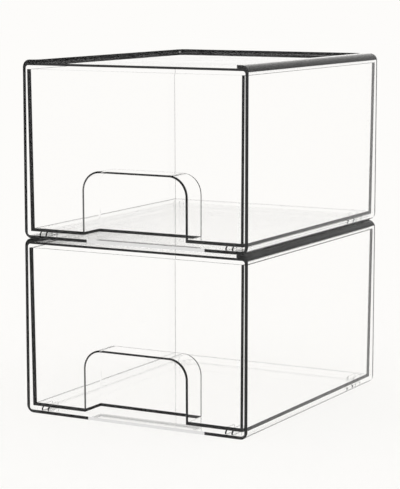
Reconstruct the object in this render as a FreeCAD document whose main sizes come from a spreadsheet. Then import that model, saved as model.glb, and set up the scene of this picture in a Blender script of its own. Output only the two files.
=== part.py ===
import FreeCAD, Part
import os
import Sketcher

# Two identical clear-plastic drawer boxes, one stacked on the other. Each box is a one-piece
# moulded casing, open at the front, with a one-piece drawer that slides out of it.
#
# Frame: millimetres, +Z up, +X to the right and the front facing -Y. The origin is the middle of
# the lower casing's underside.

doc = FreeCAD.newDocument("StackableDrawerBox")

# Driving sizes, in millimetres, and one angle in degrees
SIZES = {
    # casing
    "casing_width": 162.0,
    "casing_depth": 195.4,
    "casing_height": 114.8,
    "corner_radius": 5.0,
    "cavity_radius": 1.8,
    "side_wall": 2.2,
    "back_wall": 2.2,
    "floor_thickness": 2.0,
    "plate_thickness": 1.5,
    "front_edge_round": 0.15,
    # raised rim round three sides of the casing's top plate
    "rim_height": 2.1,
    "side_rim_width": 10.0,
    "rear_rim_width": 6.0,
    "rim_corner_radius": 5.0,
    # thin low glides on the casing's floor that carry the drawer, in pairs at its four corners
    "glide_width": 1.1,
    "glide_length": 12.0,
    "glide_spacing": 4.5,
    "glide_inset": 8.4,
    "glide_front_setback": 1.2,
    "glide_rear_setback": 7.7,
    "glide_lead": 1.2,
    "glide_clearance": 0.15,
    # room round the drawer inside the casing
    "drawer_lift": 2.5,
    "drawer_headroom": 2.5,
    "drawer_side_gap": 0.65,
    "drawer_rear_gap": 1.2,
    "drawer_setback": 0.4,
    # drawer
    "drawer_wall": 2.3,
    "drawer_front_wall": 1.75,
    "drawer_floor": 1.9,
    "drawer_draft": 0.5,
    "drawer_rear_radius": 2.0,
    "drawer_edge_round": 0.3,
    "storage_rear_radius": 2.4,
    "storage_front_radius": 0.3,
    "storage_floor_radius": 0.25,
    "drawer_lip_round": 0.4,
    # finger recess in the bottom of the drawer's front, open downwards
    "recess_width": 74.0,
    "recess_height": 40.1,
    "recess_depth": 20.0,
    "recess_wall": 1.2,
    "recess_corner_radius": 12.0,
    "recess_inner_radius": 0.4,
    "hood_back_radius": 1.6,
    "recess_lip_round": 0.25,
    # how far a cutting sketch runs past the face it cuts
    "overrun": 2.0,
}

sheet = doc.addObject("Spreadsheet::Sheet", "Sizes")
for row, (alias, size) in enumerate(SIZES.items(), start=1):
    sheet.set("A%d" % row, alias.replace("_", " "))
    sheet.set("B%d" % row, str(size))
    sheet.setAlias("B%d" % row, alias)
doc.recompute()

# How close a point lies to a place to be counted as on it
SNAP = 0.02
# How nearly an edge runs along an axis, as a share of its length
ALONG_SHARE = 0.99

X_AXIS = FreeCAD.Vector(1, 0, 0)
Y_AXIS = FreeCAD.Vector(0, 1, 0)
Z_AXIS = FreeCAD.Vector(0, 0, 1)

# Sizes that follow from the driving ones, as expressions on the sheet
FRONT = "(-Sizes.casing_depth / 2)"
REAR = "(Sizes.casing_depth / 2)"
PLATE_TOP = "(Sizes.casing_height - Sizes.rim_height)"
CEILING = "(%s - Sizes.plate_thickness)" % PLATE_TOP
CAVITY_WIDTH = "(Sizes.casing_width - 2 * Sizes.side_wall)"
CAVITY_HEIGHT = "(%s - Sizes.floor_thickness)" % CEILING
CAVITY_DEPTH = "(Sizes.casing_depth - Sizes.back_wall)"
POCKET_WIDTH = "(Sizes.casing_width - 2 * Sizes.side_rim_width)"
POCKET_LENGTH = "(Sizes.casing_depth - Sizes.rear_rim_width)"
OUTER_GLIDE = "(%s / 2 - Sizes.glide_inset - Sizes.glide_width / 2)" % CAVITY_WIDTH
INNER_GLIDE = "(%s - Sizes.glide_spacing)" % OUTER_GLIDE
GLIDE_HEIGHT = "(Sizes.drawer_lift - Sizes.glide_clearance)"
GLIDE_FRONT_START = "(%s + Sizes.glide_front_setback)" % FRONT
GLIDE_REAR_START = "(%s - Sizes.glide_rear_setback - Sizes.glide_length)" % REAR

DRAWER_BASE = "(Sizes.floor_thickness + Sizes.drawer_lift)"
DRAWER_TOP = "(%s - Sizes.drawer_headroom)" % CEILING
DRAWER_HEIGHT = "(%s - %s)" % (DRAWER_TOP, DRAWER_BASE)
DRAWER_FRONT = "(%s + Sizes.drawer_setback)" % FRONT
DRAWER_WIDTH = "(%s - 2 * Sizes.drawer_side_gap)" % CAVITY_WIDTH
DRAWER_DEPTH = "(%s - Sizes.drawer_rear_gap - Sizes.drawer_setback)" % CAVITY_DEPTH
INNER_WIDTH = "(%s - 2 * Sizes.drawer_wall)" % DRAWER_WIDTH
INNER_DEPTH = "(%s - Sizes.drawer_front_wall - Sizes.drawer_wall)" % DRAWER_DEPTH
INNER_HEIGHT = "(%s - Sizes.drawer_floor)" % DRAWER_HEIGHT
HOOD_WIDTH = "(Sizes.recess_width + 2 * Sizes.recess_wall)"
HOOD_HEIGHT = "(Sizes.recess_height + Sizes.recess_wall)"
HOOD_DEPTH = "(Sizes.recess_depth + Sizes.recess_wall - Sizes.drawer_front_wall)"
HOOD_RADIUS = "(Sizes.recess_corner_radius + Sizes.recess_wall)"


def value(expression):
    """The length that an expression on the sheet stands for, in millimetres."""
    result = sheet.evalExpression(expression)
    return float(getattr(result, "Value", result))


def near(length, expression):
    """Whether a length matches an expression on the sheet."""
    return abs(length - value(expression)) < SNAP


def middle(edge):
    """The point half way along an edge."""
    return edge.valueAt((edge.FirstParameter + edge.LastParameter) / 2)


def along(edge, axis):
    """Whether an edge is straight and runs nearly along an axis."""
    if len(edge.Vertexes) < 2:
        return False
    span = edge.Vertexes[-1].Point - edge.Vertexes[0].Point
    return abs(span.dot(axis)) > ALONG_SHARE * edge.Length


def upright(face):
    """Whether a face is flat and stands straight up."""
    if type(face.Surface).__name__ != "Plane":
        return False
    return abs(face.Surface.Axis.dot(Z_AXIS)) < SNAP


def new_body(label):
    body = doc.addObject("PartDesign::Body", label)
    body.Label = label
    return body


def origin_plane(body, role):
    for feature in body.Origin.OriginFeatures:
        if feature.Role == role:
            return feature
    raise RuntimeError("no plane " + role)


def rectangle(body, name, role, place, width, height):
    """A sketch of one rectangle whose bottom edge is centred on the sketch's own origin.

    place gives that origin on the plane of the body, as three expressions.
    """
    sketch = body.newObject("Sketcher::SketchObject", name)
    sketch.AttachmentSupport = [(origin_plane(body, role), "")]
    sketch.MapMode = "FlatFace"
    for letter, expression in zip("xyz", place):
        if expression:
            sketch.setExpression(".AttachmentOffset.Base." + letter, expression)
    half = value(width) / 2
    tall = value(height)
    corners = [(-half, 0), (half, 0), (half, tall), (-half, tall)]
    points = [FreeCAD.Vector(across, up, 0) for across, up in corners]
    for start, end in zip(points, points[1:] + points[:1]):
        sketch.addGeometry(Part.LineSegment(start, end), False)
    bottom, right, top, left = range(4)
    for first, second in ((bottom, right), (right, top), (top, left), (left, bottom)):
        sketch.addConstraint(Sketcher.Constraint("Coincident", first, 2, second, 1))
    sketch.addConstraint(Sketcher.Constraint("Horizontal", top))
    sketch.addConstraint(Sketcher.Constraint("Vertical", right))
    sketch.addConstraint(Sketcher.Constraint("Vertical", left))
    sketch.addConstraint(Sketcher.Constraint("Symmetric", bottom, 1, bottom, 2, -2))
    sketch.addConstraint(Sketcher.Constraint("PointOnObject", bottom, 1, -1))
    across = Sketcher.Constraint("DistanceX", bottom, 1, bottom, 2, value(width))
    sketch.setExpression("Constraints[%d]" % sketch.addConstraint(across), width)
    up = Sketcher.Constraint("DistanceY", right, 1, right, 2, tall)
    sketch.setExpression("Constraints[%d]" % sketch.addConstraint(up), height)
    return sketch


def feature(body, kind, name, profile, length, backwards=False):
    """A pad or pocket of one sketch, checked to have changed the body's volume."""
    before = body.Shape.Volume if not body.Shape.isNull() else 0
    made = body.newObject("PartDesign::" + kind, name)
    made.Profile = profile
    made.Reversed = backwards
    made.setExpression("Length", length)
    doc.recompute()
    change = body.Shape.Volume - before
    if (change > 0) != (kind == "Pad") or abs(change) < SNAP:
        raise RuntimeError("%s in %s cuts or adds nothing" % (name, body.Label))
    return made


def dress(body, kind, name, size, chosen):
    """Fillets or chamfers the edges of the body that the function chosen picks out."""
    edges = body.Shape.Edges
    names = ["Edge%d" % number for number, edge in enumerate(edges, start=1) if chosen(edge)]
    if not names:
        raise RuntimeError("%s in %s finds no edge" % (name, body.Label))
    carrier = body.Tip
    made = body.newObject("PartDesign::" + kind, name)
    made.Base = (carrier, names)
    made.setExpression("Radius" if kind == "Fillet" else "Size", size)
    doc.recompute()
    if made.Shape.isNull() or not made.Shape.isValid():
        raise RuntimeError("%s in %s fails" % (name, body.Label))
    return made


def drafted(body, name, top, chosen, backwards=False):
    """Leans the upright faces that chosen picks out, about the flat face at the height top."""
    carrier = body.Tip
    faces = list(enumerate(body.Shape.Faces, start=1))
    names = ["Face%d" % number for number, face in faces if chosen(face)]
    level = ["Face%d" % number for number, face in faces
             if near(face.BoundBox.ZMin, top) and near(face.BoundBox.ZMax, top)]
    made = body.newObject("PartDesign::Draft", name)
    made.Base = (carrier, names)
    made.NeutralPlane = (carrier, level[:1])
    made.Reversed = backwards
    made.setExpression("Angle", "Sizes.drawer_draft * 1 deg")
    doc.recompute()
    if made.Shape.isNull() or not made.Shape.isValid():
        raise RuntimeError("%s in %s fails" % (name, body.Label))
    return made


def mirrored(body, name, original):
    """The same feature again on the other side of the middle."""
    made = body.newObject("PartDesign::Mirrored", name)
    made.Originals = [original]
    made.MirrorPlane = (origin_plane(body, "YZ_Plane"), [""])
    body.Tip = made
    doc.recompute()
    return made


def build_casing(label):
    """One casing: a rounded block, hollowed from the front, with a raised rim and low glides."""
    body = new_body(label)
    base = rectangle(body, "CasingPlan", "XY_Plane", ("", FRONT, ""),
                     "Sizes.casing_width", "Sizes.casing_depth")
    feature(body, "Pad", "CasingBlock", base, "Sizes.casing_height")

    # cavity for the drawer, cut from the front and closed at the back
    mouth = rectangle(body, "CavityMouth", "XZ_Plane",
                      ("", "Sizes.floor_thickness", "-" + FRONT),
                      CAVITY_WIDTH, CAVITY_HEIGHT)
    feature(body, "Pocket", "Cavity", mouth, CAVITY_DEPTH)
    inner_rear = "(%s - Sizes.back_wall)" % REAR
    dress(body, "Fillet", "CavityCorners", "Sizes.cavity_radius",
          lambda edge: near(middle(edge).y, inner_rear)
          or (along(edge, Y_AXIS) and near(abs(middle(edge).x), CAVITY_WIDTH + " / 2")))

    # every outside edge is rounded but those of the open front
    dress(body, "Fillet", "CasingCorners", "Sizes.corner_radius",
          lambda edge: near(middle(edge).y, REAR)
          or (along(edge, Y_AXIS) and near(abs(middle(edge).x), "Sizes.casing_width / 2")))

    # sunk top plate, which leaves a rim at both sides and the back and is open to the front
    sunk = rectangle(body, "PlatePocketPlan", "XY_Plane",
                     ("", FRONT + " - Sizes.overrun", "Sizes.casing_height"),
                     POCKET_WIDTH, POCKET_LENGTH + " + Sizes.overrun")
    feature(body, "Pocket", "PlatePocket", sunk, "Sizes.rim_height")
    dress(body, "Fillet", "RimCorners", "Sizes.rim_corner_radius",
          lambda edge: along(edge, Z_AXIS) and middle(edge).z > value(PLATE_TOP)
          and near(abs(middle(edge).x), POCKET_WIDTH + " / 2"))

    # glides on the cavity's floor, bevelled at the front to lead the drawer in
    glide_top = "(Sizes.floor_thickness + %s)" % GLIDE_HEIGHT
    for place, start in (("Front", GLIDE_FRONT_START), ("Rear", GLIDE_REAR_START)):
        for side, across in (("Outer", OUTER_GLIDE), ("Inner", INNER_GLIDE)):
            plan = rectangle(body, place + side + "GlidePlan", "XY_Plane",
                             (across, start, "Sizes.floor_thickness"),
                             "Sizes.glide_width", "Sizes.glide_length")
            glide = feature(body, "Pad", place + side + "Glide", plan, GLIDE_HEIGHT)
            mirrored(body, "Second%s%sGlide" % (place, side), glide)
        dress(body, "Chamfer", place + "GlideLeadIn", "Sizes.glide_lead",
              lambda edge: along(edge, X_AXIS) and near(middle(edge).z, glide_top)
              and near(middle(edge).y, start))

    # slightly softened edges round the open front
    dress(body, "Fillet", "FrontEdges", "Sizes.front_edge_round",
          lambda edge: near(edge.BoundBox.YMin, FRONT) and near(edge.BoundBox.YMax, FRONT)
          and not along(edge, Z_AXIS))
    return body


def build_drawer(label):
    """One drawer: a tray with drafted walls and an arch-shaped finger recess in its front."""
    body = new_body(label)

    # outside block, drafted so that it is a little smaller at the bottom
    base = rectangle(body, "DrawerPlan", "XY_Plane", ("", DRAWER_FRONT, DRAWER_BASE),
                     DRAWER_WIDTH, DRAWER_DEPTH)
    feature(body, "Pad", "DrawerBlock", base, DRAWER_HEIGHT)
    drafted(body, "DrawerDraft", DRAWER_TOP, upright, True)
    dress(body, "Fillet", "DrawerRearCorners", "Sizes.drawer_rear_radius",
          lambda edge: along(edge, Z_AXIS) and middle(edge).y > 0)
    dress(body, "Fillet", "DrawerBottomEdge", "Sizes.drawer_edge_round",
          lambda edge: near(middle(edge).z, DRAWER_BASE)
          or (along(edge, Z_AXIS) and middle(edge).y < 0))

    # storage space, cut down from the top and drafted to match
    mouth = rectangle(body, "StorageMouth", "XY_Plane",
                      ("", DRAWER_FRONT + " + Sizes.drawer_front_wall", DRAWER_TOP),
                      INNER_WIDTH, INNER_DEPTH)
    feature(body, "Pocket", "Storage", mouth, INNER_HEIGHT)
    storage_floor = "(%s + Sizes.drawer_floor)" % DRAWER_BASE
    drafted(body, "StorageDraft", DRAWER_TOP,
            lambda face: upright(face) and near(face.BoundBox.ZMin, storage_floor))
    for place, side in (("Rear", 1), ("Front", -1)):
        dress(body, "Fillet", "Storage%sCorners" % place,
              "Sizes.storage_%s_radius" % place.lower(),
              lambda edge: along(edge, Z_AXIS) and near(edge.BoundBox.ZMin, storage_floor)
              and side * middle(edge).y > 0)
    dress(body, "Fillet", "StorageFloorEdge", "Sizes.storage_floor_radius",
          lambda edge: near(middle(edge).z, storage_floor))

    # hood inside the drawer that stands round the finger recess
    hood = rectangle(body, "HoodOutline", "XZ_Plane",
                     ("", DRAWER_BASE, "-(%s + Sizes.drawer_front_wall)" % DRAWER_FRONT),
                     HOOD_WIDTH, HOOD_HEIGHT)
    feature(body, "Pad", "Hood", hood, HOOD_DEPTH, backwards=True)

    # finger recess, cut from the front and open at the bottom
    recess = rectangle(body, "RecessOutline", "XZ_Plane",
                       ("", DRAWER_BASE + " - Sizes.overrun", "-" + FRONT),
                       "Sizes.recess_width", "Sizes.recess_height + Sizes.overrun")
    feature(body, "Pocket", "Recess", recess, "Sizes.drawer_setback + Sizes.recess_depth")
    recess_top = "(%s + Sizes.recess_height)" % DRAWER_BASE
    recess_back = "(%s + Sizes.recess_depth)" % DRAWER_FRONT
    dress(body, "Fillet", "RecessCorners", "Sizes.recess_corner_radius",
          lambda edge: along(edge, Y_AXIS) and near(middle(edge).z, recess_top))
    dress(body, "Fillet", "RecessBackEdge", "Sizes.recess_inner_radius",
          lambda edge: near(middle(edge).y, recess_back)
          and not near(middle(edge).z, DRAWER_BASE))
    hood_top = "(%s + %s)" % (DRAWER_BASE, HOOD_HEIGHT)
    dress(body, "Fillet", "HoodCorners", HOOD_RADIUS,
          lambda edge: along(edge, Y_AXIS) and near(middle(edge).z, hood_top))
    hood_back = "(%s + Sizes.recess_wall)" % recess_back
    dress(body, "Fillet", "HoodBackEdge", "Sizes.hood_back_radius",
          lambda edge: near(middle(edge).y, hood_back)
          and middle(edge).z > value(storage_floor) + SNAP)

    # softened front of the recess and softened top of the walls
    dress(body, "Fillet", "RecessLip", "Sizes.recess_lip_round",
          lambda edge: middle(edge).y < value(DRAWER_FRONT + " + Sizes.drawer_front_wall / 2")
          and abs(middle(edge).x) < value("Sizes.recess_width / 2") + SNAP
          and value(storage_floor) < middle(edge).z < value(recess_top) + SNAP)
    dress(body, "Fillet", "TopLip", "Sizes.drawer_lip_round",
          lambda edge: near(edge.BoundBox.ZMin, DRAWER_TOP))
    return body


bodies = []
for level, drop in (("lower", ""), ("upper", "Sizes.casing_height")):
    for body in (build_casing(level + "_casing"), build_drawer(level + "_drawer")):
        if drop:
            body.setExpression(".Placement.Base.z", drop)
        bodies.append(body)
doc.recompute()

# Every object has to be sound before anything is written
for item in doc.Objects:
    if "Invalid" in item.State or "Error" in item.State:
        raise RuntimeError("%s failed: %s" % (item.Label, item.State))
for body in bodies:
    if body.Shape.isNull() or not body.Shape.isValid() or len(body.Shape.Solids) != 1:
        raise RuntimeError("%s isn't one sound solid" % body.Label)

os.makedirs("parts", exist_ok=True)
for body in bodies:
    body.Shape.exportStep("parts/%s.step" % body.Label)
    print(body.Label, round(body.Shape.Volume), body.Shape.BoundBox)
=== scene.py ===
import math

import bpy
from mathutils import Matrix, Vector

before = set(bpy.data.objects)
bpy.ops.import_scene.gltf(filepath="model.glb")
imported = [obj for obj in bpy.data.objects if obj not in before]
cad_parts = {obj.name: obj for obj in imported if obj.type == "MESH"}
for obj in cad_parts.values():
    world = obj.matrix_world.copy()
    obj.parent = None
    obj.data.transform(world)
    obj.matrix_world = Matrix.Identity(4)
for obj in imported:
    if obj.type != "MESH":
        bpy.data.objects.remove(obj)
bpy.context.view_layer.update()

# Camera, solved from the corners of the two boxes in the photograph. Metres and degrees.
CAMERA_PLACE = Vector((0.60626, -1.11377, 0.2853))
CAMERA_AZIMUTH = math.radians(28.79)
CAMERA_ELEVATION = math.radians(8.147)
CAMERA_LENS = 140.67
SENSOR = 36.0
CAMERA_REACH = 50.0

# How many walls a ray may cross, and how often it may be mirrored
TOTAL_BOUNCES = 40
THROUGH_BOUNCES = 40
MIRROR_BOUNCES = 12

WHITE = (1.0, 1.0, 1.0, 1.0)

# Clear plastic. A wall mirrors nothing below the Fresnel value MIRROR_FROM, and more above it. Past
# TURNED_BACK all light is mirrored back into the wall, which then shows a painted shade: the dark matt
# PAINTED_TRAPPED_SHADE in place of following the ray.
PLASTIC_IOR = 1.59
PLASTIC_TINT = (0.9998, 0.9995, 0.999, 1.0)
MIRROR_FROM = 0.1
MIRROR_GAIN = 1.375
TURNED_BACK = 0.98
PAINTED_TRAPPED_SHADE = (0.04, 0.04, 0.04, 1.0)

# Faint haze and faint waves in the surface of the two mouldings. WAVE_HEIGHT is in metres.
NOISE_DETAIL = 2.0
NOISE_LOW = 0.35
NOISE_HIGH = 0.65
HAZE_SCALE = 9.0
HAZE = (0.0, 0.012)
CASING_WAVES = 14.0
DRAWER_WAVES = 19.0
WAVE_STRENGTH = 1.0
WAVE_HEIGHT = 0.000004

# Painted light: a pale colour painted on the middle of the front edge of each casing's floor, where the
# edge shows light instead of a dark line. The upper casing stands CASING_HEIGHT up.
CASING_HEIGHT = 0.1148
EDGE_HEIGHT = 0.00205
EDGE_FRONT = -0.0975
EDGE_SPAN = (-0.034, 0.051)
PAINTED_PALE_LIGHT = (0.95, 0.94, 0.93, 1.0)
PAINTED_LIGHT_SHARE = 0.85

# Room and floor. The floor lies just under the lower casing.
ROOM_STRENGTH = 1.0
BACKDROP = (0.982, 0.973, 0.956, 1.0)
SHADOW_TINT = (0.99, 0.99, 0.99, 1.0)
FLOOR_SIZE = 12.0
FLOOR_DROP = 0.0003
FLOOR_GREY = 0.85

scene = bpy.context.scene


def aim():
    """The camera, at the photograph's viewing angle."""
    camera = bpy.data.cameras.new("camera")
    camera.lens = CAMERA_LENS
    camera.sensor_width = SENSOR
    camera.sensor_fit = "AUTO"
    camera.clip_end = CAMERA_REACH
    viewer = bpy.data.objects.new("camera", camera)
    scene.collection.objects.link(viewer)
    level = math.cos(CAMERA_ELEVATION)
    forward = Vector((-math.sin(CAMERA_AZIMUTH) * level, math.cos(CAMERA_AZIMUTH) * level,
                      -math.sin(CAMERA_ELEVATION)))
    viewer.location = CAMERA_PLACE
    viewer.rotation_euler = forward.to_track_quat("-Z", "Y").to_euler()
    scene.camera = viewer


def calculate(nodes, links, operation, first, second):
    """One Math node. Each input is a socket or a number."""
    made = nodes.new("ShaderNodeMath")
    made.operation = operation
    for socket, source in zip(made.inputs, (first, second)):
        if isinstance(source, (int, float)):
            socket.default_value = source
        else:
            links.new(source, socket)
    return made.outputs[0]


def faint_noise(nodes, links, place, scale, low, high):
    """Noise over the piece, between two levels."""
    noise = nodes.new("ShaderNodeTexNoise")
    noise.inputs["Scale"].default_value = scale
    noise.inputs["Detail"].default_value = NOISE_DETAIL
    links.new(place, noise.inputs["Vector"])
    span = nodes.new("ShaderNodeMapRange")
    span.inputs["From Min"].default_value = NOISE_LOW
    span.inputs["From Max"].default_value = NOISE_HIGH
    span.inputs["To Min"].default_value = low
    span.inputs["To Max"].default_value = high
    links.new(noise.outputs["Fac"], span.inputs["Value"])
    return span.outputs[0]


def painted_light_edge(nodes, links, place):
    """1 on the middle of the front edge of a casing's floor, where a pale colour is painted as light,
    else 0.
    """
    axes = nodes.new("ShaderNodeSeparateXYZ")
    links.new(place, axes.inputs[0])
    share = calculate(nodes, links, "LESS_THAN", axes.outputs["Y"], EDGE_FRONT)
    share = calculate(nodes, links, "MULTIPLY", share,
                      calculate(nodes, links, "GREATER_THAN", axes.outputs["X"], EDGE_SPAN[0]))
    share = calculate(nodes, links, "MULTIPLY", share,
                      calculate(nodes, links, "LESS_THAN", axes.outputs["X"], EDGE_SPAN[1]))
    level = calculate(nodes, links, "MODULO", axes.outputs["Z"], CASING_HEIGHT)
    return calculate(nodes, links, "MULTIPLY", share,
                     calculate(nodes, links, "LESS_THAN", level, EDGE_HEIGHT))


def mix_shaders(nodes, links, share, first, second):
    """The first shader where the share is 0, the second where it is 1."""
    mix = nodes.new("ShaderNodeMixShader")
    links.new(share, mix.inputs["Fac"])
    links.new(first.outputs[0], mix.inputs[1])
    links.new(second.outputs[0], mix.inputs[2])
    return mix


def coloured(nodes, kind, colour):
    """A shader node with one plain colour."""
    shader = nodes.new(kind)
    shader.inputs["Color"].default_value = colour
    return shader


def empty_nodes(holder):
    """The cleared node tree of a material or a world, and its output node."""
    holder.use_nodes = True
    nodes, links = holder.node_tree.nodes, holder.node_tree.links
    nodes.clear()
    kind = "World" if isinstance(holder, bpy.types.World) else "Material"
    return nodes, links, nodes.new("ShaderNodeOutput" + kind)


def clear_plastic(name, wave_scale, paints_edge_light=False):
    """Moulded clear plastic. It bends light, mirrors most where it is seen edge on, and shows a painted
    shade, a dark matt colour, where light stays trapped inside a wall. Roughness and waviness vary
    faintly over the piece.
    A casing can also carry painted light: a pale colour on the middle of its floor's front edge."""
    material = bpy.data.materials.new(name)
    nodes, links, out = empty_nodes(material)
    place = nodes.new("ShaderNodeTexCoord").outputs["Object"]
    roughness = faint_noise(nodes, links, place, HAZE_SCALE, *HAZE)
    waves = nodes.new("ShaderNodeBump")
    waves.inputs["Strength"].default_value = WAVE_STRENGTH
    waves.inputs["Distance"].default_value = WAVE_HEIGHT
    links.new(faint_noise(nodes, links, place, wave_scale, 0.0, 1.0), waves.inputs["Height"])

    through = coloured(nodes, "ShaderNodeBsdfRefraction", PLASTIC_TINT)
    through.inputs["IOR"].default_value = PLASTIC_IOR
    gloss = coloured(nodes, "ShaderNodeBsdfGlossy", WHITE)
    for shader in (through, gloss):
        links.new(roughness, shader.inputs["Roughness"])
        links.new(waves.outputs["Normal"], shader.inputs["Normal"])
    fresnel = nodes.new("ShaderNodeFresnel")
    fresnel.inputs["IOR"].default_value = PLASTIC_IOR
    mirrored = calculate(nodes, links, "SUBTRACT", fresnel.outputs[0], MIRROR_FROM)
    mirrored = calculate(nodes, links, "MAXIMUM", 0.0, mirrored)
    mirrored = calculate(nodes, links, "MULTIPLY", mirrored, MIRROR_GAIN)
    mirrored = calculate(nodes, links, "MINIMUM", 1.0, mirrored)
    shown = mix_shaders(nodes, links, mirrored, through, gloss)

    # painted shade: seen from inside past TURNED_BACK, the wall shows a dark matt colour in place of the
    # light trapped in it
    inside = nodes.new("ShaderNodeNewGeometry").outputs["Backfacing"]
    turned_back = calculate(nodes, links, "GREATER_THAN", fresnel.outputs[0], TURNED_BACK)
    trapped = calculate(nodes, links, "MULTIPLY", turned_back, inside)
    dark = coloured(nodes, "ShaderNodeBsdfDiffuse", PAINTED_TRAPPED_SHADE)
    shown = mix_shaders(nodes, links, trapped, shown, dark)
    # painted light: a pale colour on the middle of the front edge of the casing's floor
    if paints_edge_light:
        share = calculate(nodes, links, "MULTIPLY", painted_light_edge(nodes, links, place), PAINTED_LIGHT_SHARE)
        pale = coloured(nodes, "ShaderNodeBsdfDiffuse", PAINTED_PALE_LIGHT)
        shown = mix_shaders(nodes, links, share, shown, pale)

    # the room lights the floor and what stands behind the clear walls
    path = nodes.new("ShaderNodeLightPath")
    lit = calculate(nodes, links, "MAXIMUM", path.outputs["Is Shadow Ray"],
                    path.outputs["Is Diffuse Ray"])
    lets_light_by = coloured(nodes, "ShaderNodeBsdfTransparent", SHADOW_TINT)
    shown = mix_shaders(nodes, links, lit, shown, lets_light_by)
    links.new(shown.outputs[0], out.inputs["Surface"])
    return material


def seen_by_clear_rays(nodes, links):
    """1 for rays from the camera and for those that a mirror or a clear wall sends on, else 0."""
    path = nodes.new("ShaderNodeLightPath")
    either = calculate(nodes, links, "MAXIMUM", path.outputs["Is Camera Ray"],
                       path.outputs["Is Glossy Ray"])
    return calculate(nodes, links, "MAXIMUM", either, path.outputs["Is Transmission Ray"])


def light_room():
    """An even soft room that lights at strength 1 and is seen as the photograph's warm white."""
    world = bpy.data.worlds.new("room")
    scene.world = world
    nodes, links, out = empty_nodes(world)
    lights = coloured(nodes, "ShaderNodeBackground", WHITE)
    lights.inputs["Strength"].default_value = ROOM_STRENGTH
    seen = coloured(nodes, "ShaderNodeBackground", BACKDROP)
    room = mix_shaders(nodes, links, seen_by_clear_rays(nodes, links), lights, seen)
    links.new(room.outputs[0], out.inputs["Surface"])


def lay_floor():
    """A wide pale floor that keeps the shadow and is otherwise seen as the same warm white."""
    mesh = bpy.data.meshes.new("floor")
    half = FLOOR_SIZE / 2
    corners = [(-half, -half, -FLOOR_DROP), (half, -half, -FLOOR_DROP),
               (half, half, -FLOOR_DROP), (-half, half, -FLOOR_DROP)]
    mesh.from_pydata(corners, [], [(0, 1, 2, 3)])
    floor = bpy.data.objects.new("floor", mesh)
    scene.collection.objects.link(floor)
    material = bpy.data.materials.new("floor")
    nodes, links, out = empty_nodes(material)
    paper = coloured(nodes, "ShaderNodeBsdfDiffuse", (FLOOR_GREY, FLOOR_GREY, FLOOR_GREY, 1.0))
    gain = [shade - FLOOR_GREY * ROOM_STRENGTH for shade in BACKDROP[:3]]
    lift = coloured(nodes, "ShaderNodeEmission", (*gain, 1.0))
    links.new(seen_by_clear_rays(nodes, links), lift.inputs["Strength"])
    both = nodes.new("ShaderNodeAddShader")
    links.new(paper.outputs[0], both.inputs[0])
    links.new(lift.outputs[0], both.inputs[1])
    links.new(both.outputs[0], out.inputs["Surface"])
    mesh.materials.append(material)


aim()
light_room()
lay_floor()
plastics = {
    "casing": clear_plastic("clear_casing", CASING_WAVES, paints_edge_light=True),
    "drawer": clear_plastic("clear_drawer", DRAWER_WAVES),
}
for name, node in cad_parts.items():
    for slot in node.material_slots:
        slot.material = plastics[name.split("_")[1]]

scene.cycles.max_bounces = TOTAL_BOUNCES
scene.cycles.transmission_bounces = THROUGH_BOUNCES
scene.cycles.glossy_bounces = MIRROR_BOUNCES
scene.cycles.transparent_max_bounces = THROUGH_BOUNCES
scene.view_settings.view_transform = "Standard"
